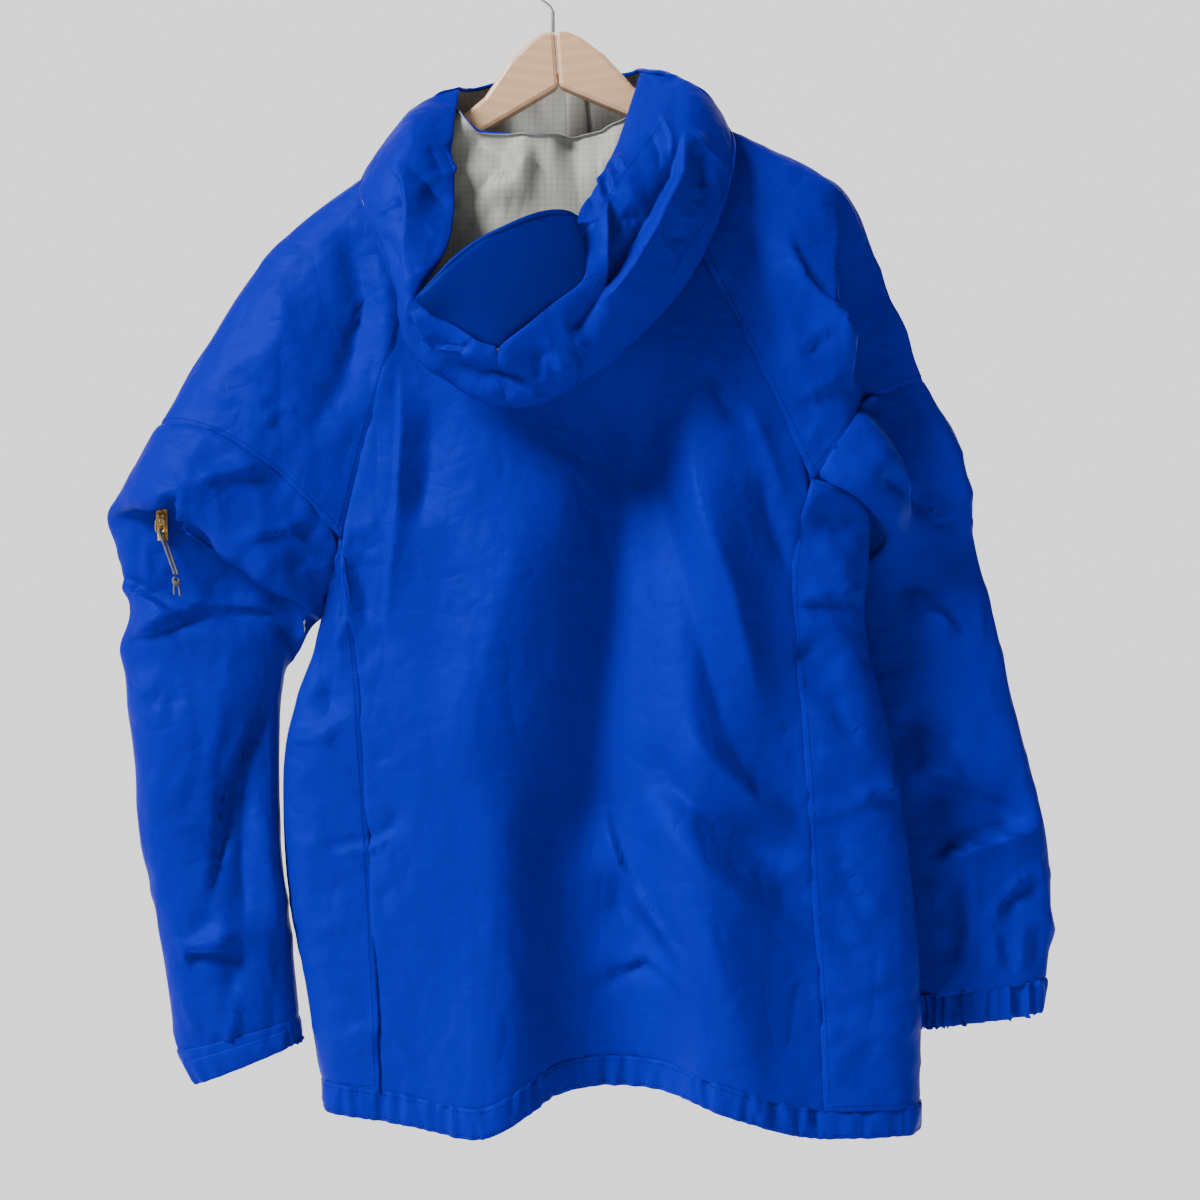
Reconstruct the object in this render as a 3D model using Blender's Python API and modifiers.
"""Hooded anorak pullover on a wooden hanger, seen with its back towards -Y.

Every cut piece of cloth is its own thin wall. The walls are lofted through named sections:
shoulder sections, arm sections, hood stations and the side, raglan and hem seams.
The origin is the inside top of the hanger's hook, +X runs along the hanger, +Z is up.
Lengths are in millimetres until a mesh is made.
"""
import math

import bmesh
import bpy
import numpy as np
from mathutils import Matrix, Vector

MM = 0.001

# Cloth and seams
CLOTH = 1.2
CASING_CLOTH = 2.6
BRIM_CLOTH = 2.4
SEAM_GAP = 0.3
TIGHT_SEAM_GAP = 0.6
LAID_ON_GAP = 0.35

# Grid steps of the cloth pieces
RAGLAN_STEPS = 7
SIDE_STEPS = 13
BACK_STEPS = 16
FRONT_STEPS = 10
SHOULDER_STEPS = 12
UNDERARM_STEPS = 6
SLEEVE_STEPS = 24
HOOD_STEPS_PER_STATION = 2
HOOD_TURN_STEPS = 10

# Hanger and hook
HANGER_THICK = 14.0
HANGER_TILT = math.radians(4.0)
HANGER_CROWN_DROP = 70.0
HANGER_EDGE_ROUND = 3.5
HOOK_INNER_RADIUS = 20.0
HOOK_WIRE = 3.0
HOOK_SEAT = -0.35

# Hem casing and cuffs
CASING_HEIGHT = 22.0
CUFF_GATHERS = 22
CUFF_GATHER_DEPTH = 1.6
CUFF_GAP = 0.6

# Pull tab and cord of the underarm zip
TAB_WIRE = 1.4
TAB_LENGTH = 10.5
TAB_WIDTH = 7.0
TAB_CORNER = 2.4
PULL_CORD = 2.0

BLUE = (0.004, 0.105, 0.60)
DARK_BLUE = (0.003, 0.060, 0.30)
GREY = (0.45, 0.45, 0.40)
BEECH = (0.62, 0.40, 0.24)
STEEL = (0.62, 0.63, 0.65)
OCHRE = (0.42, 0.24, 0.03)
CORD_GREY = (0.09, 0.09, 0.09)

# Where each control point of a section sits round the arm, in twelfths of the shoulder's width
SECTION_PLACES = (0.0, 1.5, 3.0, 4.2, 6.0, 9.0, 12.0)

# Shoulder sections: share of the way from neck to arm seam, then the points from the back raglan
# seam over the shoulder to the front raglan seam.
#  share  back seam          near            edge             hollow          shoulder top    front            front seam
LEFT_SHOULDER = (
    (0.00, (-66, -24, -152), (-70, -22, -146), (-73, -18, -140), (-76, -12, -137), (-78, 0, -134),
     (-73, 17, -152), (-62, 26, -178)),
    (0.30, (-100, -29, -248), (-122, -31, -232), (-142, -29, -216), (-156, -21, -204), (-168, 0, -194.5),
     (-140, 25, -216), (-98, 29, -255)),
    (0.50, (-122, -33, -313), (-152, -37, -292), (-182, -35, -268), (-206, -26, -252), (-225, 0, -236),
     (-180, 29, -272), (-120, 31, -318)),
    (0.75, (-146, -36, -392), (-186, -42, -364), (-226, -42, -337), (-254, -32, -320), (-275, -1, -311),
     (-225, 33, -345), (-146, 33, -396)),
    (1.00, (-167, -38, -475), (-207, -45, -433), (-249, -46, -401), (-284, -37, -386), (-320, -3, -388),
     (-255, 36, -405), (-170, 34, -475)),
)
RIGHT_SHOULDER = (
    (0.00, (66, -24, -143), (70, -22, -134), (74, -17, -125), (77, -11, -120.5), (78, 0, -118),
     (73, 17, -138), (62, 26, -165)),
    (0.30, (105, -30, -229), (118, -31, -208), (131, -28, -187), (142, -20, -168), (152, 0, -155.5),
     (132, 24, -180), (102, 27, -228)),
    (0.60, (148, -35, -315), (172, -37, -282), (197, -34, -246), (216, -24, -218), (233, 0, -193),
     (200, 30, -230), (150, 26, -312)),
    (0.80, (176, -37, -371), (202, -39, -335), (226, -28, -290), (234, 8, -280), (268, 24, -258),
     (225, 46, -300), (178, 25, -370)),
    (1.00, (202, -38, -429), (222, -40, -403), (240, -28, -376), (246, 14, -366), (304, 38, -342),
     (252, 60, -385), (205, 22, -429)),
)

# Underarm seams, from the back end of the side seam through the armpit to the front end
LEFT_UNDERARM = ((-167, -38, -475), (-178, -30, -512), (-186, 0, -544), (-178, 26, -512), (-170, 34, -475))
RIGHT_UNDERARM = ((202, -38, -429), (238, -28, -440), (256, -2, -447), (240, 15, -441), (205, 22, -429))

# Arm sections with folds: share of the arm's length, then the points round the arm.
#  share  back corner         near              edge              hollow            outer             front
#         front corner        inner
LEFT_FOLDED = (
    (0.08, (-204, -42, -484), (-237, -47, -453), (-274, -48, -437), (-310, -40, -420), (-341, -2, -424),
     (-285, 36, -450), (-206, 32, -486), (-193, 0, -547)),
    (0.16, (-212, -49, -512), (-245, -55, -492), (-287, -52, -448), (-325, -36, -452), (-361, -2, -459),
     (-290, 38, -490), (-212, 34, -520), (-198, -6, -554)),
    (0.20, (-214, -16, -514), (-245, -19, -489), (-287, -23, -445), (-325, -16, -450), (-355, 4, -474),
     (-290, 38, -500), (-217, 34, -532), (-204, 4, -566)),
    (0.25, (-222, -16, -529), (-251, -25, -523), (-288, -27, -520), (-318, -20, -514), (-348, -1, -507),
     (-285, 37, -524), (-222, 32, -544), (-208, 7, -570)),
    (0.28, (-223, -15, -537), (-251, -24, -532), (-284, -24, -530), (-312, -18, -526), (-335, -1, -519),
     (-282, 36, -536), (-225, 31, -551), (-210, 7, -575)),
    (0.34, (-226, -26, -545), (-258, -40, -543), (-299, -41, -544), (-324, -30, -548), (-348, -1, -560),
     (-285, 36, -556), (-229, 30, -560), (-214, 4, -577)),
    (0.38, (-229, -20, -570), (-256, -27, -569), (-296, -26, -570), (-322, -21, -573), (-346, -1, -580),
     (-284, 35, -577), (-231, 29, -577), (-217, 2, -584)),
)
RIGHT_FOLDED = (
    (0.08, (226, -46, -438), (252, -47, -437), (283, -30, -410), (268, 18, -396), (332, 44, -407),
     (276, 77, -425), (214, 41, -440), (275, 4, -459)),
    (0.14, (273, -6, -469), (281, -8, -461), (289, 2, -453), (297, 24, -444), (341, 48, -442),
     (284, 85, -455), (216, 54, -470), (263, 30, -479)),
    (0.18, (264, 20, -486), (272, 15, -482), (283, 20, -475), (297, 30, -470), (347, 51, -469),
     (290, 84, -477), (226, 65, -489), (248, 44, -494)),
    (0.24, (240, 37, -506), (258, 31, -502), (278, 33, -499), (296, 36, -498), (352, 54, -497),
     (298, 80, -499), (234, 71, -505), (223, 55, -508)),
)

# Plain arm sections: share, outer edge x and z, inner edge x and z, middle y, near depth, far depth
LEFT_PLAIN = (
    (0.43, -343, -604, -220, -604, 0, 33, 34),
    (0.55, -336, -664, -221, -664, 0, 34, 33),
    (0.68, -331, -716, -220, -716, 0, 32, 31),
    (0.79, -321, -766, -215, -762, 0, 30, 29),
    (0.90, -312, -822, -209, -812, 0, 28, 27),
    (1.00, -303, -884, -204, -857, 0, 25, 24),
)
RIGHT_PLAIN = (
    (0.33, 365, -550, 220, -556, 54, 20, 24),
    (0.45, 376, -606, 229, -618, 54, 20, 24),
    (0.57, 390, -656, 245, -672, 54, 20, 23),
    (0.68, 404, -706, 262, -722, 54, 19, 22),
    (0.80, 409, -760, 276, -776, 54, 18, 22),
    (0.92, 407, -812, 287, -826, 54, 17, 21),
    (1.00, 403, -836, 292, -850, 54, 16, 20),
)

# Cuff ends in the same columns
LEFT_CUFF_END = (1.0, -289, -909, -202, -874, 0, 24, 23)
RIGHT_CUFF_END = (1.0, 398, -862, 296, -874, 54, 16, 20)

# Side seams and body edges, top to hem: x, y, z
LEFT_BACK_SEAM = ((-167, -38, -475), (-158, -37, -545), (-152, -37, -614), (-144, -37, -712), (-139, -38, -790),
                  (-137, -38, -917))
LEFT_FRONT_SEAM = ((-170, 34, -475), (-160, 33, -560), (-150, 33, -712), (-144, 34, -917))
LEFT_EDGE = ((-186, 0, -544), (-193, 0, -569), (-214, 0, -636), (-213, 0, -690), (-207, 0, -754), (-198, 0, -808),
             (-192, 0, -883), (-188, 0, -908))
RIGHT_BACK_SEAM = ((202, -38, -429), (193, -38, -462), (185, -37, -509), (191, -36, -567), (197, -36, -635),
                   (202, -36, -725), (210, -36, -864), (212, -36, -921))
RIGHT_FRONT_SEAM = ((205, 22, -429), (196, 22, -480), (200, 22, -640), (208, 24, -800), (212, 26, -921))
RIGHT_EDGE = ((256, -2, -447), (253, -1, -486), (250, -1, -521), (247, -1, -548), (259, -1, -587), (267, -1, -622),
              (274, -1, -660), (286, -1, -732), (292, -1, -796), (294, -1, -850), (294, -1, -921))

# How far the middle of the back and of the front stand out beyond their seams, by share of each seam
BACK_FULLNESS = ((0.0, 7), (0.25, 11), (0.5, 13), (1.0, 16))
FRONT_FULLNESS = ((0.0, 8), (0.25, 12), (0.5, 14), (1.0, 18))
NECK_DIP_BACK = 13.0
NECK_DIP_FRONT = 34.0

# The hem's rise (+) and fall (-) and its swing in depth: share of the width from left, rise, out
HEM_LINE = ((0.00, 0, 0), (0.10, -6, -2), (0.24, -14, -12), (0.38, 3, 4), (0.50, 12, 14), (0.64, 12, 12),
            (0.80, -2, 2), (0.92, -14, -4), (1.00, -18, 0))

# Large drape folds of the back: x and z of both ends, half width, height towards -Y
BACK_FOLDS = (
    (-120, -430, -112, -800, 20, 7),
    (-30, -420, -60, -900, 60, 6),
    (5, -700, 10, -925, 26, -9),
    (60, -420, 40, -700, 34, -6),
    (118, -330, 150, -800, 34, 8),
    (85, -720, 125, -920, 26, 7),
    (165, -620, 190, -900, 22, -5),
)
FRONT_FOLDS = (
    (-90, -380, -110, -900, 34, -7),
    (95, -380, 120, -900, 36, -5),
    (0, -560, -10, -920, 30, 5),
)

# Hood stations, from the front middle round the left side and the back to the right side.
#    neck seam          under             turn              outer side        face edge
HOOD_STATIONS = (
    ((0, 34.5, -204.5), (0, 38, -178), (0, 41, -150), (0, 42, -122), (0, 40, -94)),
    ((-45, 30.5, -191), (-52, 36, -168), (-55, 38, -147), (-50, 37, -125), (-42, 34, -101)),
    ((-69, 23.5, -156), (-86, 32, -147), (-93, 31, -139), (-85, 25, -126), (-66, 20, -112)),
    ((-80, 1, -128.5), (-106, 9, -142), (-129, 4, -156), (-106, -14, -132), (-76, -10, -119)),
    ((-75, -19, -136.5), (-116, -32, -172), (-154, -38, -202), (-118, -56, -170), (-80, -44, -163)),
    ((-64, -27.5, -151), (-100, -43, -225), (-136, -62, -247), (-112, -80, -236), (-77, -58, -208)),
    ((-46, -30.5, -156), (-76, -49, -272), (-115, -83, -304), (-105, -104, -286), (-80, -92, -258)),
    ((-30, -32.5, -158.5), (-58, -54, -305), (-101, -84, -338), (-112, -104, -318), (-103, -105, -298)),
    ((-14, -33.5, -159.5), (-38, -58, -334), (-62, -84, -370), (-72, -106, -346), (-68, -113, -321)),
    ((0, -33.5, -159), (-14, -59, -342), (-30, -86, -376), (-38, -108, -358), (-42, -116, -335)),
    ((14, -33.5, -157.5), (14, -59, -332), (16, -86, -362), (10, -112, -336), (2, -120, -302)),
    ((28, -32.8, -155), (42, -57, -305), (54, -84, -332), (44, -112, -306), (28, -116, -281)),
    ((42, -31.5, -151), (68, -51, -268), (92, -75, -294), (58, -106, -258), (17, -109, -241)),
    ((56, -29, -146), (90, -44, -215), (122, -62, -244), (84, -88, -214), (35, -86, -208)),
    ((70, -25, -132.5), (106, -39, -165), (140, -47, -188), (98, -67, -164), (51, -58, -167)),
    ((81, -2, -111.5), (112, -6, -131), (137, -20, -148), (112, -32, -119), (68, -16, -107)),
    ((69, 23.5, -143), (86, 31, -133), (94, 28, -122), (85, 20, -109), (62, 17, -99)),
    ((41, 31.5, -184.5), (50, 37, -160), (52, 38, -138), (48, 37, -116), (40, 35, -96)),
)
HOOD_PLACES = (0.0, 0.3, 0.52, 0.75, 1.0)
HOOD_UNDER_END = 0.5

# The brim's bound edge, from its left end to its right end; its sewn edge follows the hood's face edge
BRIM_COLUMNS = (15, 22)
BRIM_BOUND = ((-96, -118, -288), (-73, -125, -271), (-34, -131, -248), (-6, -130, -238), (6, -126, -236),
              (12, -123, -242))
BRIM_RISE = 3.0
BRIM_LIFT = 1.6

# Strips laid on a sheet, in steps of that sheet's grid: first and last row, first and last column
PLACKET_PLACE = (0.15, 7.0, 4.45, 5.55)
ZIP_FLAP_PLACE = (0.2, 9.8, 35.05, 35.6)
ZIP_TAPE_PLACE = (3.06, 3.42, 3.6, 3.88)
CUFF_TAB_COLUMNS = (2, 26)

# Hanger outline in its own frame, crown at the origin: x and drop of the top and bottom edges
HANGER_TOP = ((0, 0), (10, 0.8), (20, 6), (38, 21.5), (60, 49), (90, 70), (150, 106), (205, 140), (211, 146),
              (214, 154))
HANGER_BOTTOM = ((211, 161), (200, 159), (150, 127), (60, 75), (0, 45))
MITRE_GAP = 0.15

# Zip slider: its middle on the tape, its size across, out and along, and the bridge over its face
SLIDER_AT = (-311.0, -461.0)
SLIDER_SIZE = (7.4, 2.4, 10.0)
BRIDGE_HEIGHT = 2.7
BRIDGE_LENGTH = 6.4
BRIDGE_WIRE = 1.2

# Doubled pull cord below the tab: x, y off the tab's plane, z under the tab's axis
CORD_ROUTE = ((12.8, -6.4, -44.0), (9.0, -5.0, -34.0), (4.4, -3.6, -22.0), (1.2, -2.8, -14.0), (0.0, -2.4, -11.0),
              (0.0, -1.6, -8.9), (0.0, 0.0, -8.1), (0.1, 1.6, -8.9), (0.4, 2.2, -11.0), (2.6, 0.9, -14.4),
              (6.6, -1.6, -22.0), (11.4, -4.0, -34.0), (15.4, -6.4, -44.0))
KNOT_AT = (14.2, -7.0, -49.4)
KNOT_RADII = (3.6, 3.2, 4.2)
KNOT_TAILS = (((12.8, -7.0, -51.0), (12.2, -7.2, -56.0), (12.4, -7.0, -60.0)),
              ((15.6, -7.0, -51.0), (16.6, -7.4, -56.0), (17.4, -7.4, -61.5)))


def smooth_path(points, at, places=None, closed=False):
    """Points on a smooth curve through the given ones, at shares from 0 to 1 of its run."""
    knots = np.array(points, dtype=float)
    if closed:
        knots = np.concatenate([knots, knots[:1]])
    if places is None:
        steps = np.linalg.norm(np.diff(knots, axis=0), axis=-1)
        places = np.concatenate([[0.0], np.cumsum(steps)]) / steps.sum()
    places = np.array(places, dtype=float)
    slopes = np.gradient(knots, places, axis=0)
    if closed:
        first, last = places[1] - places[0], places[-1] - places[-2]
        wrap = ((knots[1] - knots[0]) / first * last + (knots[-1] - knots[-2]) / last * first) / (first + last)
        slopes[0] = slopes[-1] = wrap
    at = np.clip(np.atleast_1d(np.array(at, dtype=float)), 0.0, 1.0)
    left = np.clip(np.searchsorted(places, at, side="right") - 1, 0, len(places) - 2)
    width = places[left + 1] - places[left]
    share = ((at - places[left]) / width)
    shape = (-1,) + (1,) * (knots.ndim - 1)
    share, width = share.reshape(shape), width.reshape(shape)
    start = (1 + 2 * share) * (1 - share) ** 2 * knots[left]
    end = share ** 2 * (3 - 2 * share) * knots[left + 1]
    lean = share * (1 - share) ** 2 * width * slopes[left] - share ** 2 * (1 - share) * width * slopes[left + 1]
    return start + end + lean


def shoulder_sections(rows, across):
    """Each named section sampled round the shoulder, across from 0 at the back to 1 at the front."""
    places = np.array(SECTION_PLACES) / SECTION_PLACES[-1]
    return np.array([smooth_path(row[1:], across, places) for row in rows])


def shoulder_point_grid(rows, shares, across):
    """The raglan shoulder panel, from the neck to the arm seam."""
    return smooth_path(shoulder_sections(rows, across), shares, [row[0] for row in rows])


def folded_ring(points, around):
    """One section of a sleeve through its eight named points, around from 0 to 1."""
    places = [place / 18.0 for place in SECTION_PLACES] + [15.0 / 18.0, 1.0]
    return smooth_path(points, around, places, closed=True)


def plain_ring(row, around, fullness=2.5):
    """One flattened section of a sleeve; column 0 is at the back beside the inner edge."""
    _, outer_x, outer_z, inner_x, inner_z, middle, near, far = row
    twelfths = np.array(around) * 18.0
    degrees = np.where(twelfths <= 12, 30 + twelfths * 25, 330 + (twelfths - 12) * 10)
    angle = np.radians(degrees)
    side = np.sign(np.cos(angle)) * np.abs(np.cos(angle)) ** (2 / fullness)
    depth = np.sign(np.sin(angle)) * np.abs(np.sin(angle)) ** (2 / fullness)
    x = (inner_x + outer_x) / 2 + side * (inner_x - outer_x) / 2
    z = (inner_z + outer_z) / 2 + side * (inner_z - outer_z) / 2
    y = middle - depth * np.where(depth > 0, near, far)
    return np.stack([x, y, z], axis=-1)


def arm_seam_ring(shoulder, underarm, around):
    """The sleeve's first ring: the shoulder panel's arm seam, then the underarm seam."""
    around = np.array(around)
    split = 12.0 / 18.0
    over = shoulder_point_grid(shoulder, [1.0], np.clip(around / split, 0, 1))[0]
    under = smooth_path(underarm[::-1], np.clip((around - split) / (1 - split), 0, 1))
    return np.where((around <= split)[:, None], over, under)


def sleeve_grid(shoulder, underarm, folded, plain, shares, around):
    """The lower sleeve, from the arm seam to the cuff seam."""
    rings = [arm_seam_ring(shoulder, underarm, around)]
    rings += [folded_ring(row[1:], around) for row in folded]
    rings += [plain_ring(row, around) for row in plain]
    places = [0.0] + [row[0] for row in folded] + [row[0] for row in plain]
    return smooth_path(np.array(rings), shares, places)


def fold_height(folds, x, z):
    """Sum of the soft folds of a panel, towards -Y."""
    height = np.zeros_like(x)
    for x0, z0, x1, z1, half_width, rise in folds:
        along = np.clip(((x - x0) * (x1 - x0) + (z - z0) * (z1 - z0)) / ((x1 - x0) ** 2 + (z1 - z0) ** 2), 0, 1)
        away = np.hypot(x - x0 - along * (x1 - x0), z - z0 - along * (z1 - z0)) / half_width
        height += rise * np.exp(-away ** 2)
    return height


def body_panel(left, right, across, fullness, dip, folds, sign, hem):
    """A front or back panel between two seams; rows run from the neck to the hem."""
    across = np.array(across)
    rows = len(left)
    down = np.linspace(0, 1, rows)[:, None]
    swell = 1 - (2 * across - 1) ** 2
    grid = left[:, None, :] * (1 - across)[None, :, None] + right[:, None, :] * across[None, :, None]
    out = np.interp(down[:, 0], [row[0] for row in fullness], [row[1] for row in fullness])[:, None]
    grid[:, :, 1] += sign * out * swell
    grid[:, :, 2] -= dip * swell * np.exp(-(down / 0.08) ** 2)
    grid[:, :, 1] -= fold_height(folds, grid[:, :, 0], grid[:, :, 2]) * swell ** 0.5
    low = down ** 4
    line = smooth_path(np.array(HEM_LINE)[:, 1:], across, [row[0] for row in HEM_LINE])
    grid[:, :, 2] += line[None, :, 0] * low
    grid[:, :, 1] += line[None, :, 1] * low * swell * hem
    return grid


def side_panel(back, edge, front, steps, turn=2.6):
    """A side panel that rounds the body's edge, from the back side seam to the front one."""
    rows = []
    for back_point, edge_point, front_point in zip(back, edge, front):
        row = []
        for step in range(steps + 1):
            share = abs(2 * step / steps - 1)
            seam_point = back_point if step <= steps / 2 else front_point
            angle = (1 - share) * math.pi / 2
            across = math.sin(angle) ** (2 / turn)
            inward = math.cos(angle) ** (2 / turn)
            x = seam_point[0] + (edge_point[0] - seam_point[0]) * across
            y = edge_point[1] + (seam_point[1] - edge_point[1]) * inward
            z = edge_point[2] + (seam_point[2] - edge_point[2]) * share ** 1.2
            row.append((x, y, z))
        rows.append(row)
    return np.array(rows)


def hood_grid(around, up):
    """The whole hood as one ring of cloth: up runs from the neck seam round the turn to the face edge."""
    table = np.array(HOOD_STATIONS, dtype=float)
    lines = [smooth_path(table[:, ring], around, closed=True, places=np.linspace(0, 1, len(table) + 1))
             for ring in range(table.shape[1])]
    return smooth_path(np.array(lines), up, HOOD_PLACES)


def face_normals(grid):
    """Unit vertex normals of one sheet."""
    normals = np.zeros_like(grid)
    a, b, c, d = grid[:-1, :-1], grid[:-1, 1:], grid[1:, 1:], grid[1:, :-1]
    faces = np.cross(c - a, d - b)
    faces /= np.maximum(np.linalg.norm(faces, axis=-1, keepdims=True), 1e-9)
    for row, column in ((0, 0), (0, 1), (1, 1), (1, 0)):
        rows, columns = faces.shape[:2]
        normals[row:row + rows, column:column + columns] += faces
    return normals / np.maximum(np.linalg.norm(normals, axis=-1, keepdims=True), 1e-9)


def share_normals(sheets, joins):
    """Adds up the normals of sheets that meet along a seam, so that their walls stay parallel."""
    normals = {name: face_normals(grid) * joins[name] for name, grid in sheets.items()}
    sums = {}
    for name, grid in sheets.items():
        for point, normal in zip(grid.reshape(-1, 3), normals[name].reshape(-1, 3)):
            key = tuple(np.round(point, 3) + 0.0)
            sums[key] = sums.get(key, 0) + normal
    for name, grid in sheets.items():
        flat = [sums[tuple(np.round(point, 3) + 0.0)] for point in grid.reshape(-1, 3)]
        flat = np.array(flat)
        length = np.maximum(np.linalg.norm(flat, axis=1, keepdims=True), 1e-9)
        normals[name] = (flat / length).reshape(grid.shape)
    return normals


def inset(grid, normals, edges, gap=SEAM_GAP / 2):
    """Draws the sewn edges of a sheet back by half a seam gap, square to its normals. Edges: t, b, l, r."""
    result = grid.copy()
    borders = {"t": (0, 1), "b": (-1, -2), "l": (0, 1), "r": (-1, -2)}
    for edge in edges:
        border, inner = borders[edge]
        along = (slice(None), border) if edge in "lr" else (border,)
        beyond = (slice(None), inner) if edge in "lr" else (inner,)
        pull, normal = grid[beyond] - grid[along], normals[along]
        pull = pull - normal * (pull * normal).sum(axis=-1, keepdims=True)
        result[along] += pull * gap / np.maximum(np.linalg.norm(pull, axis=-1, keepdims=True), 1e-6)
    return result


def finish_material(name, colour, roughness, metallic=0.0):
    """A plain Principled finish."""
    material = bpy.data.materials.get(name)
    if material is None:
        material = bpy.data.materials.new(name)
        material.use_nodes = True
        shader = material.node_tree.nodes["Principled BSDF"]
        shader.inputs["Base Color"].default_value = (*colour, 1.0)
        shader.inputs["Roughness"].default_value = roughness
        shader.inputs["Metallic"].default_value = metallic
    return material


def add_object(name, mesh, finish):
    """Puts a finished mesh into the garment's collection."""
    part = bpy.data.objects.new(name, mesh)
    mesh.materials.append(finish_material(*finish))
    garment.objects.link(part)
    return part


def cloth_wall(name, outer, normals, thickness, finish, closed=False):
    """A closed wall of cloth: the outer sheet, the inner one behind it and the edges between."""
    inner = outer - normals * thickness
    rows, columns = outer.shape[:2]
    shell = bmesh.new()
    front = [[shell.verts.new(Vector(point) * MM) for point in row] for row in outer]
    back = [[shell.verts.new(Vector(point) * MM) for point in row] for row in inner]
    span = columns if closed else columns - 1
    for row in range(rows - 1):
        for column in range(span):
            after = (column + 1) % columns
            for sheet in (front, back):
                shell.faces.new((sheet[row][column], sheet[row][after], sheet[row + 1][after],
                                 sheet[row + 1][column]))
    for row in (0, rows - 1):
        for column in range(span):
            after = (column + 1) % columns
            shell.faces.new((front[row][column], front[row][after], back[row][after], back[row][column]))
    if not closed:
        for column in (0, columns - 1):
            for row in range(rows - 1):
                shell.faces.new((front[row][column], front[row + 1][column], back[row + 1][column],
                                 back[row][column]))
    bmesh.ops.triangulate(shell, faces=shell.faces)
    bmesh.ops.recalc_face_normals(shell, faces=shell.faces)
    mesh = bpy.data.meshes.new(name)
    shell.to_mesh(mesh)
    shell.free()
    mesh.shade_smooth()
    mesh.set_sharp_from_angle(angle=math.radians(50))
    return add_object(name, mesh, finish)


def tube(name, points, diameter, finish, closed=False, sides=2):
    """A round wire or cord along a smooth path."""
    curve = bpy.data.curves.new(name, "CURVE")
    curve.dimensions = "3D"
    curve.bevel_depth = diameter / 2 * MM
    curve.bevel_resolution = sides
    curve.use_fill_caps = True
    line = curve.splines.new("POLY")
    line.points.add(len(points) - 1)
    for knot, point in zip(line.points, points):
        knot.co = (*(Vector(point) * MM), 1.0)
    line.use_cyclic_u = closed
    line.use_smooth = True
    curve.materials.append(finish_material(*finish))
    part = bpy.data.objects.new(name, curve)
    garment.objects.link(part)
    return part


def curve_to_mesh(part):
    """Replaces a tube by its mesh, with the caps welded, so that it can be joined."""
    bpy.context.view_layer.update()
    name, matrix, finish = part.name, part.matrix_world.copy(), part.data.materials[0]
    mesh = bpy.data.meshes.new_from_object(part.evaluated_get(bpy.context.evaluated_depsgraph_get()))
    bpy.data.objects.remove(part)
    weld = bmesh.new()
    weld.from_mesh(mesh)
    bmesh.ops.remove_doubles(weld, verts=weld.verts, dist=0.01 * MM)
    weld.to_mesh(mesh)
    weld.free()
    mesh.name = name
    mesh.materials.clear()
    mesh.materials.append(finish)
    solid = bpy.data.objects.new(name, mesh)
    solid.matrix_world = matrix
    garment.objects.link(solid)
    return solid


def union(body, extra):
    """Joins a second solid, kept among the cutters, to a body."""
    for collection in list(extra.users_collection):
        collection.objects.unlink(extra)
    cutters.objects.link(extra)
    extra.hide_render = True
    extra.display_type = "WIRE"
    joint = body.modifiers.new("Join " + extra.name, "BOOLEAN")
    joint.operation = "UNION"
    joint.object = extra


def grid_between(grid, rows, columns):
    """Points of a sheet at fractional rows and columns of its grid."""
    rows, columns = np.array(rows)[:, None], np.array(columns)[None, :]
    row = np.minimum(rows.astype(int), grid.shape[0] - 2)
    column = np.minimum(columns.astype(int), grid.shape[1] - 2)
    down, over = (rows - row)[..., None], (columns - column)[..., None]
    upper = grid[row, column] * (1 - over) + grid[row, column + 1] * over
    lower = grid[row + 1, column] * (1 - over) + grid[row + 1, column + 1] * over
    return upper * (1 - down) + lower * down


def strip_rows(first, last):
    """A strip's ends and every grid row between them."""
    return [first] + [row for row in range(math.ceil(first + 0.01), math.ceil(last))] + [last]


def laid_on(name, grid, grid_normals, place, finish, side=1):
    """A strip of cloth on a sheet, made from its points: side 1 lies outside it, -1 behind its wall."""
    rows = strip_rows(place[0], place[1])
    columns = strip_rows(place[2], place[3])
    points = grid_between(grid, rows, columns)
    out = grid_between(grid_normals, rows, columns)
    out /= np.linalg.norm(out, axis=-1, keepdims=True)
    lift = LAID_ON_GAP + CLOTH if side > 0 else -LAID_ON_GAP - CLOTH
    return cloth_wall(name, points + out * lift, out, CLOTH, finish)


def tape_height(grid, grid_normals):
    """The y of the zip tape's outer face where the slider's nearest corner stands over it."""
    rows, columns = ZIP_TAPE_PLACE[:2], ZIP_TAPE_PLACE[2:]
    points = grid_between(grid, rows, columns)
    points = (points + grid_between(grid_normals, rows, columns) * (LAID_ON_GAP + CLOTH)).reshape(-1, 3)
    plane = np.linalg.lstsq(np.stack([points[:, 0], points[:, 2], np.ones(4)], axis=1), points[:, 1], rcond=None)[0]
    half_wide, half_tall = SLIDER_SIZE[0] / 2, SLIDER_SIZE[2] / 2
    return min(plane[0] * (SLIDER_AT[0] + x) + plane[1] * (SLIDER_AT[1] + z) + plane[2]
               for x in (-half_wide, half_wide) for z in (-half_tall, half_tall))


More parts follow.
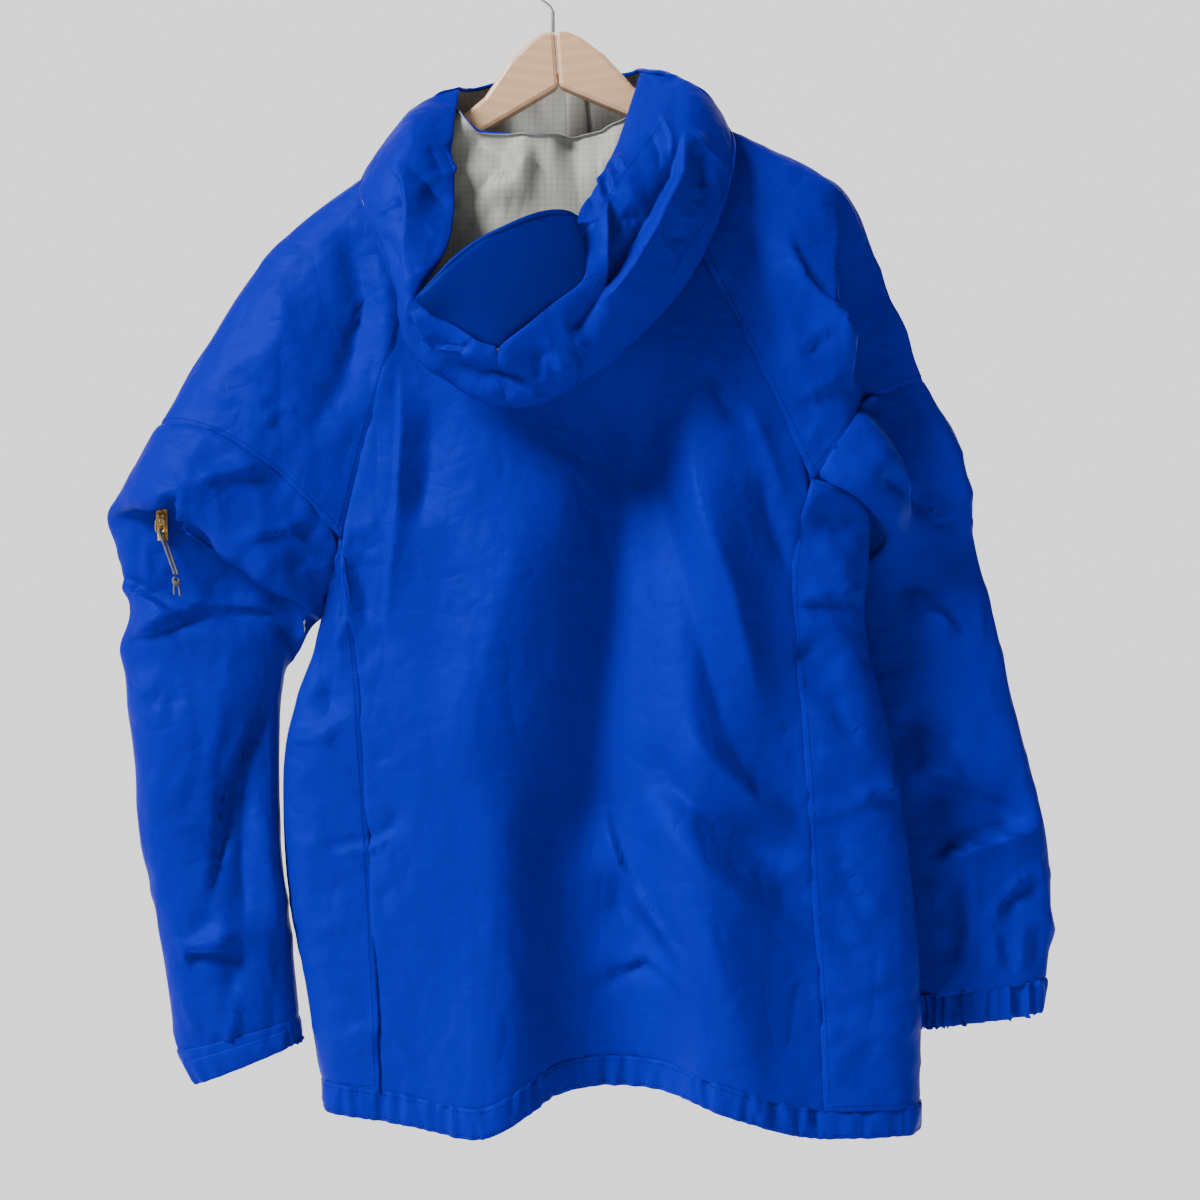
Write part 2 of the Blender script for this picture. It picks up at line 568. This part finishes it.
def zip_slider(face_y):
    """A bevelled slider body on the tape, with a wire bridge over its face."""
    x, z = SLIDER_AT
    wide, deep, tall = SLIDER_SIZE
    block = bmesh.new()
    bmesh.ops.create_cube(block, size=1.0)
    for point in block.verts:
        narrow = 0.72 if point.co.z < 0 else 1.0
        point.co = (point.co.x * wide * narrow * MM, point.co.y * deep * MM, point.co.z * tall * MM)
    bmesh.ops.bevel(block, geom=block.edges[:], offset=0.5 * MM, segments=1, affect="EDGES")
    bmesh.ops.translate(block, verts=block.verts, vec=(x * MM, (face_y + deep / 2) * MM, z * MM))
    mesh = bpy.data.meshes.new("zip_slider")
    block.to_mesh(mesh)
    block.free()
    slider = add_object("zip_slider", mesh, ("zip metal", STEEL, 0.35, 1.0))
    bridge = []
    for step in range(9):
        turn = math.pi * step / 8
        rise = max(0.0, math.sin(turn)) ** 0.5 * (BRIDGE_HEIGHT + 0.8) - 0.8
        bridge.append((x, face_y - rise, z + 1.0 + math.cos(turn) * BRIDGE_LENGTH / 2))
    union(slider, curve_to_mesh(tube("bridge wire", bridge, BRIDGE_WIRE, ("zip metal", STEEL, 0.35, 1.0))))
    return slider


def zip_pull_tab(axis):
    """A closed wire ring; its origin is on its hinge line, the middle of its top bar."""
    half = TAB_WIDTH / 2 - TAB_CORNER
    corners = ((half, -TAB_CORNER, 90), (half, -TAB_LENGTH + TAB_CORNER, 0),
               (-half, -TAB_LENGTH + TAB_CORNER, -90), (-half, -TAB_CORNER, -180))
    route = []
    for x, z, start in corners:
        for step in range(4):
            turn = math.radians(start - 30 * step)
            route.append((x + TAB_CORNER * math.cos(turn), 0, z + TAB_CORNER * math.sin(turn)))
    tab = tube("zip_pull_tab", route, TAB_WIRE, ("zip metal", STEEL, 0.35, 1.0), closed=True)
    tab.location = Vector(axis) * MM
    return tab


def pull_knot(axis):
    """The overhand knot as a squashed ball, with two short tails."""
    ball = bmesh.new()
    bmesh.ops.create_icosphere(ball, subdivisions=2, radius=1.0)
    bmesh.ops.scale(ball, verts=ball.verts, vec=Vector(KNOT_RADII) * MM)
    bmesh.ops.translate(ball, verts=ball.verts, vec=(Vector(axis) + Vector(KNOT_AT)) * MM)
    mesh = bpy.data.meshes.new("pull_cord_knot")
    ball.to_mesh(mesh)
    ball.free()
    mesh.shade_smooth()
    knot = add_object("pull_cord_knot", mesh, CORD_FINISH)
    for index, tail in enumerate(KNOT_TAILS):
        route = [Vector(axis) + Vector(point) for point in tail]
        union(knot, curve_to_mesh(tube("tail %d" % index, route, PULL_CORD, CORD_FINISH)))
    return knot


def body_seams():
    """The four seams of the body, each from the neck to the hem, as rows of points."""
    raglan = np.linspace(0, 1, RAGLAN_STEPS + 1)
    side = np.linspace(0, 1, SIDE_STEPS + 1)
    seams = {}
    for name, shoulder, back, front in (("left", LEFT_SHOULDER, LEFT_BACK_SEAM, LEFT_FRONT_SEAM),
                                        ("right", RIGHT_SHOULDER, RIGHT_BACK_SEAM, RIGHT_FRONT_SEAM)):
        ends = shoulder_point_grid(shoulder, raglan, [0.0, 1.0])
        seams[name + "_back"] = np.concatenate([ends[:, 0], smooth_path(back, side)[1:]])
        seams[name + "_front"] = np.concatenate([ends[:, 1], smooth_path(front, side)[1:]])
    return seams


def build_body_sheets():
    """All cloth sheets of the body and arms, with the sign that turns their normals outwards."""
    seams = body_seams()
    side = np.linspace(0, 1, SIDE_STEPS + 1)
    sheets, signs = {}, {}
    sheets["back_panel"] = body_panel(seams["left_back"], seams["right_back"], np.linspace(0, 1, BACK_STEPS + 1),
                                      BACK_FULLNESS, NECK_DIP_BACK, BACK_FOLDS, -1, 1.0)
    sheets["front_panel"] = body_panel(seams["left_front"], seams["right_front"],
                                       np.linspace(0, 1, FRONT_STEPS + 1), FRONT_FULLNESS, NECK_DIP_FRONT,
                                       FRONT_FOLDS, 1, 0.0)
    signs["back_panel"], signs["front_panel"] = -1, 1
    for name, edge, hand in (("left", LEFT_EDGE, 1), ("right", RIGHT_EDGE, -1)):
        back = sheets["back_panel"][RAGLAN_STEPS:, 0 if hand > 0 else -1]
        front = sheets["front_panel"][RAGLAN_STEPS:, 0 if hand > 0 else -1]
        rim = smooth_path(edge, side)
        low = np.linspace(0, 1, SIDE_STEPS + 1)[:, None] ** 4
        rim[:, 2:] += low * (back[-1, 2] - smooth_path(LEFT_BACK_SEAM if hand > 0 else RIGHT_BACK_SEAM, [1.0])[0, 2])
        sheets["side_panel_" + name] = side_panel(back, rim, front, UNDERARM_STEPS)
        signs["side_panel_" + name] = hand
    return sheets, signs


def hanger_half(name, hand):
    """One mitred half of the hanger, with rounded edges, tilted about the hook."""
    top = [(hand * (x + (MITRE_GAP if x == 0 else 0)), -drop) for x, drop in HANGER_TOP]
    bottom = [(hand * (x + (MITRE_GAP if x == 0 else 0)), -drop) for x, drop in HANGER_BOTTOM]
    plate = bmesh.new()
    outline = [plate.verts.new((x * MM, -HANGER_THICK / 2 * MM, z * MM)) for x, z in top + bottom]
    face = plate.faces.new(outline)
    side = bmesh.ops.extrude_face_region(plate, geom=[face])
    moved = [item for item in side["geom"] if isinstance(item, bmesh.types.BMVert)]
    bmesh.ops.translate(plate, verts=moved, vec=(0, HANGER_THICK * MM, 0))
    bmesh.ops.recalc_face_normals(plate, faces=plate.faces)
    mesh = bpy.data.meshes.new(name)
    plate.to_mesh(mesh)
    plate.free()
    turn = Matrix.Rotation(-HANGER_TILT, 4, "Y")
    mesh.transform(Matrix.Translation((0, 0, -HANGER_CROWN_DROP * MM)) @ turn)
    part = add_object(name, mesh, ("beech", BEECH, 0.45))
    edge = part.modifiers.new("Rounded edges", "BEVEL")
    edge.width = HANGER_EDGE_ROUND * MM
    edge.segments = 2
    edge.limit_method = "ANGLE"
    edge.angle_limit = math.radians(60)
    mesh.shade_smooth()
    mesh.set_sharp_from_angle(angle=math.radians(40))
    return part


def hanger_hook():
    """The wire hook: a shank above the crown, then an open round hook over the rod."""
    centre = -HOOK_INNER_RADIUS
    radius = HOOK_INNER_RADIUS + HOOK_WIRE / 2
    foot = -HANGER_CROWN_DROP + HOOK_SEAT
    route = [(-1.5, 0, foot), (-1.5, 0, foot + 9), (-1.6, 0, foot + 17), (-4.5, 0, foot + 21.5),
             (-10.5, 0, foot + 26)]
    for degrees in range(228, -31, -12):
        angle = math.radians(degrees)
        route.append((radius * math.cos(angle), 0, centre + radius * math.sin(angle)))
    return tube("hanger_hook", route, HOOK_WIRE, ("chrome", STEEL, 0.2, 1.0))


def gather_rings(rings, normals, waves, depth):
    """Pushes a band's points in and out in even waves round it, least along its first row."""
    columns = rings.shape[1]
    angle = np.arange(columns) / columns * 2 * math.pi * waves
    wave = np.cos(angle)[None, :, None] * depth / 2
    strength = np.linspace(0.35, 1.0, rings.shape[0])[:, None, None]
    return rings + normals * wave * strength


def loop_normals(rings):
    """Normals of a closed band of rings."""
    wrapped = np.concatenate([rings, rings[:, :1]], axis=1)
    normals = face_normals(wrapped)
    normals[:, 0] += normals[:, -1]
    normals = normals[:, :-1]
    return normals / np.linalg.norm(normals, axis=-1, keepdims=True)


def cuff(name, seam_row, end_row, sign):
    """A gathered cuff band that hangs 0.3 mm below the sleeve."""
    around = np.arange(CUFF_GATHERS * 4) / (CUFF_GATHERS * 4)
    top, end = plain_ring(seam_row, around), plain_ring(end_row, around)
    shares = np.array([0.0, 0.33, 0.66, 1.0])[:, None, None]
    start = top + (end - top) * CUFF_GAP / np.linalg.norm(end - top, axis=-1, keepdims=True)
    rings = start + (end - start) * shares
    normals = loop_normals(rings) * sign
    rings = gather_rings(rings, normals, CUFF_GATHERS, CUFF_GATHER_DEPTH)
    cloth_wall(name, rings, normals, CLOTH, CLOTH_FINISH, closed=True)
    return rings, normals


for leftover in list(bpy.data.objects):
    bpy.data.objects.remove(leftover)
garment = bpy.data.collections.new("anorak_pullover")
cutters = bpy.data.collections.new("cutters")
for collection in (garment, cutters):
    bpy.context.scene.collection.children.link(collection)

CLOTH_FINISH = ("cloth", BLUE, 0.42)
CORD_FINISH = ("cord", CORD_GREY, 0.8)

# Body, shoulders and sleeves
sheets, signs = build_body_sheets()
raglan_shares = np.linspace(0, 1, RAGLAN_STEPS + 1)
over_shares = np.linspace(0, 1, SHOULDER_STEPS + 1)
ring_shares = np.arange(SHOULDER_STEPS + UNDERARM_STEPS + 1) / (SHOULDER_STEPS + UNDERARM_STEPS)
ARMS = (
    ("left", LEFT_SHOULDER, LEFT_UNDERARM, LEFT_FOLDED, LEFT_PLAIN, 1),
    ("right", RIGHT_SHOULDER, RIGHT_UNDERARM, RIGHT_FOLDED, RIGHT_PLAIN, -1),
)
for name, shoulder, underarm, folded, plain, hand in ARMS:
    sheets["shoulder_panel_" + name] = shoulder_point_grid(shoulder, raglan_shares, over_shares)
    signs["shoulder_panel_" + name] = hand
    down = [0.0] + [row[0] for row in folded] + list(np.linspace(plain[0][0], 1, SLEEVE_STEPS - len(folded) - 10))
    sheets["sleeve_" + name] = sleeve_grid(shoulder, underarm, folded, plain, down, ring_shares)
    signs["sleeve_" + name] = hand
    side = sheets["side_panel_" + name]
    side[0] = smooth_path(underarm, np.linspace(0, 1, UNDERARM_STEPS + 1))
normals = share_normals(sheets, signs)

casing_top = np.concatenate([sheets["back_panel"][-1], sheets["side_panel_right"][-1, 1:],
                             sheets["front_panel"][-1, ::-1][1:], sheets["side_panel_left"][-1, ::-1][1:-1]])
drop = np.array([0.0, 0.0, -1.0])
casing = np.array([casing_top + drop * share for share in (SEAM_GAP / 2, CASING_HEIGHT / 2, CASING_HEIGHT)])

for name, grid in sheets.items():
    if name.startswith("sleeve"):
        continue
    edges = "blr" if name.startswith("side") else "tblr"
    sheet = inset(grid, normals[name], edges)
    if name.startswith("side"):
        sheet = inset(sheet, normals[name], "t", TIGHT_SEAM_GAP / 2)
    cloth_wall(name, sheet, normals[name], CLOTH, CLOTH_FINISH)
for name in ("sleeve_left", "sleeve_right"):
    ring = inset(sheets[name], normals[name], "tb", TIGHT_SEAM_GAP / 2)[:, :-1]
    cloth_wall(name, ring, normals[name][:, :-1], CLOTH, CLOTH_FINISH, closed=True)
cloth_wall("hem_casing", casing, -loop_normals(casing), CASING_CLOTH, CLOTH_FINISH, closed=True)
left_cuff, left_cuff_normals = cuff("cuff_left", LEFT_PLAIN[-1], LEFT_CUFF_END, 1)
cuff("cuff_right", RIGHT_PLAIN[-1], RIGHT_CUFF_END, -1)

# Hood: standing collar, the part that lies against the back, the two side panels and the brim
stations = len(HOOD_STATIONS)
around_all = np.arange(stations * HOOD_STEPS_PER_STATION + 1) / (stations * HOOD_STEPS_PER_STATION)
up_all = np.linspace(0, 1, HOOD_TURN_STEPS + 1)
hood = hood_grid(around_all, up_all)
hood_normals = -loop_normals(hood[:, :-1])
hood_normals = np.concatenate([hood_normals, hood_normals[:, :1]], axis=1)
half_turn = int(HOOD_TURN_STEPS * HOOD_UNDER_END)
collar_left = 3 * HOOD_STEPS_PER_STATION
collar_right = (stations - 3) * HOOD_STEPS_PER_STATION
bottom = 9 * HOOD_STEPS_PER_STATION
order = list(range(collar_right, stations * HOOD_STEPS_PER_STATION)) + list(range(0, collar_left + 1))
HOOD_PIECES = (
    ("hood_collar", slice(0, HOOD_TURN_STEPS + 1), order, "lr"),
    ("hood_under_panel", slice(0, half_turn + 1), list(range(collar_left, collar_right + 1)), "lrb"),
    ("hood_side_left", slice(half_turn, HOOD_TURN_STEPS + 1), list(range(collar_left, bottom + 1)), "lrt"),
    ("hood_side_right", slice(half_turn, HOOD_TURN_STEPS + 1), list(range(bottom, collar_right + 1)), "lrt"),
)
for name, rows, columns, edges in HOOD_PIECES:
    sheet, sheet_normals = hood[rows][:, columns], hood_normals[rows][:, columns]
    cloth_wall(name, inset(sheet, sheet_normals, edges, TIGHT_SEAM_GAP / 2), sheet_normals, CLOTH, CLOTH_FINISH)

brim_columns = slice(BRIM_COLUMNS[0], BRIM_COLUMNS[1] + 1)
sewn = hood[-1, brim_columns] + hood_normals[-1, brim_columns] * (BRIM_LIFT + BRIM_CLOTH)
bound = smooth_path(BRIM_BOUND, np.linspace(0, 1, len(sewn)))
middle = (sewn + bound) / 2 + np.array([0, -BRIM_RISE, 0])
brim = np.array([sewn, middle, bound])
cloth_wall("hood_brim", brim, -face_normals(brim), BRIM_CLOTH, ("brim", DARK_BLUE, 0.5))

# Strips laid on the cloth
laid_on("front_placket", sheets["front_panel"], normals["front_panel"], PLACKET_PLACE, CLOTH_FINISH)
laid_on("zip_flap_inner", hood, hood_normals, ZIP_FLAP_PLACE, ("lining", GREY, 0.6), side=-1)
laid_on("underarm_zip_tape", sheets["sleeve_left"], normals["sleeve_left"], ZIP_TAPE_PLACE, ("zip tape", OCHRE, 0.55))
tab_place = slice(CUFF_TAB_COLUMNS[0], CUFF_TAB_COLUMNS[1] + 1)
cuff_tab = left_cuff[1:, tab_place] + left_cuff_normals[1:, tab_place] * (LAID_ON_GAP + CLOTH)
cloth_wall("cuff_tab_left", cuff_tab, left_cuff_normals[1:, tab_place], CLOTH, CLOTH_FINISH)

# Underarm zip: slider, pull tab, doubled cord and knot
slider_face = tape_height(sheets["sleeve_left"], normals["sleeve_left"]) - SEAM_GAP - SLIDER_SIZE[1]
zip_slider(slider_face)
tab_axis = Vector((SLIDER_AT[0], slider_face - 0.25 - TAB_WIRE / 2, SLIDER_AT[1] + 1.0))
zip_pull_tab(tab_axis)
tube("pull_cord", [tab_axis + Vector(point) for point in CORD_ROUTE], PULL_CORD, CORD_FINISH)
pull_knot(tab_axis)

# Hanger and hook
hanger_half("hanger_left", -1)
hanger_half("hanger_right", 1)
hanger_hook()
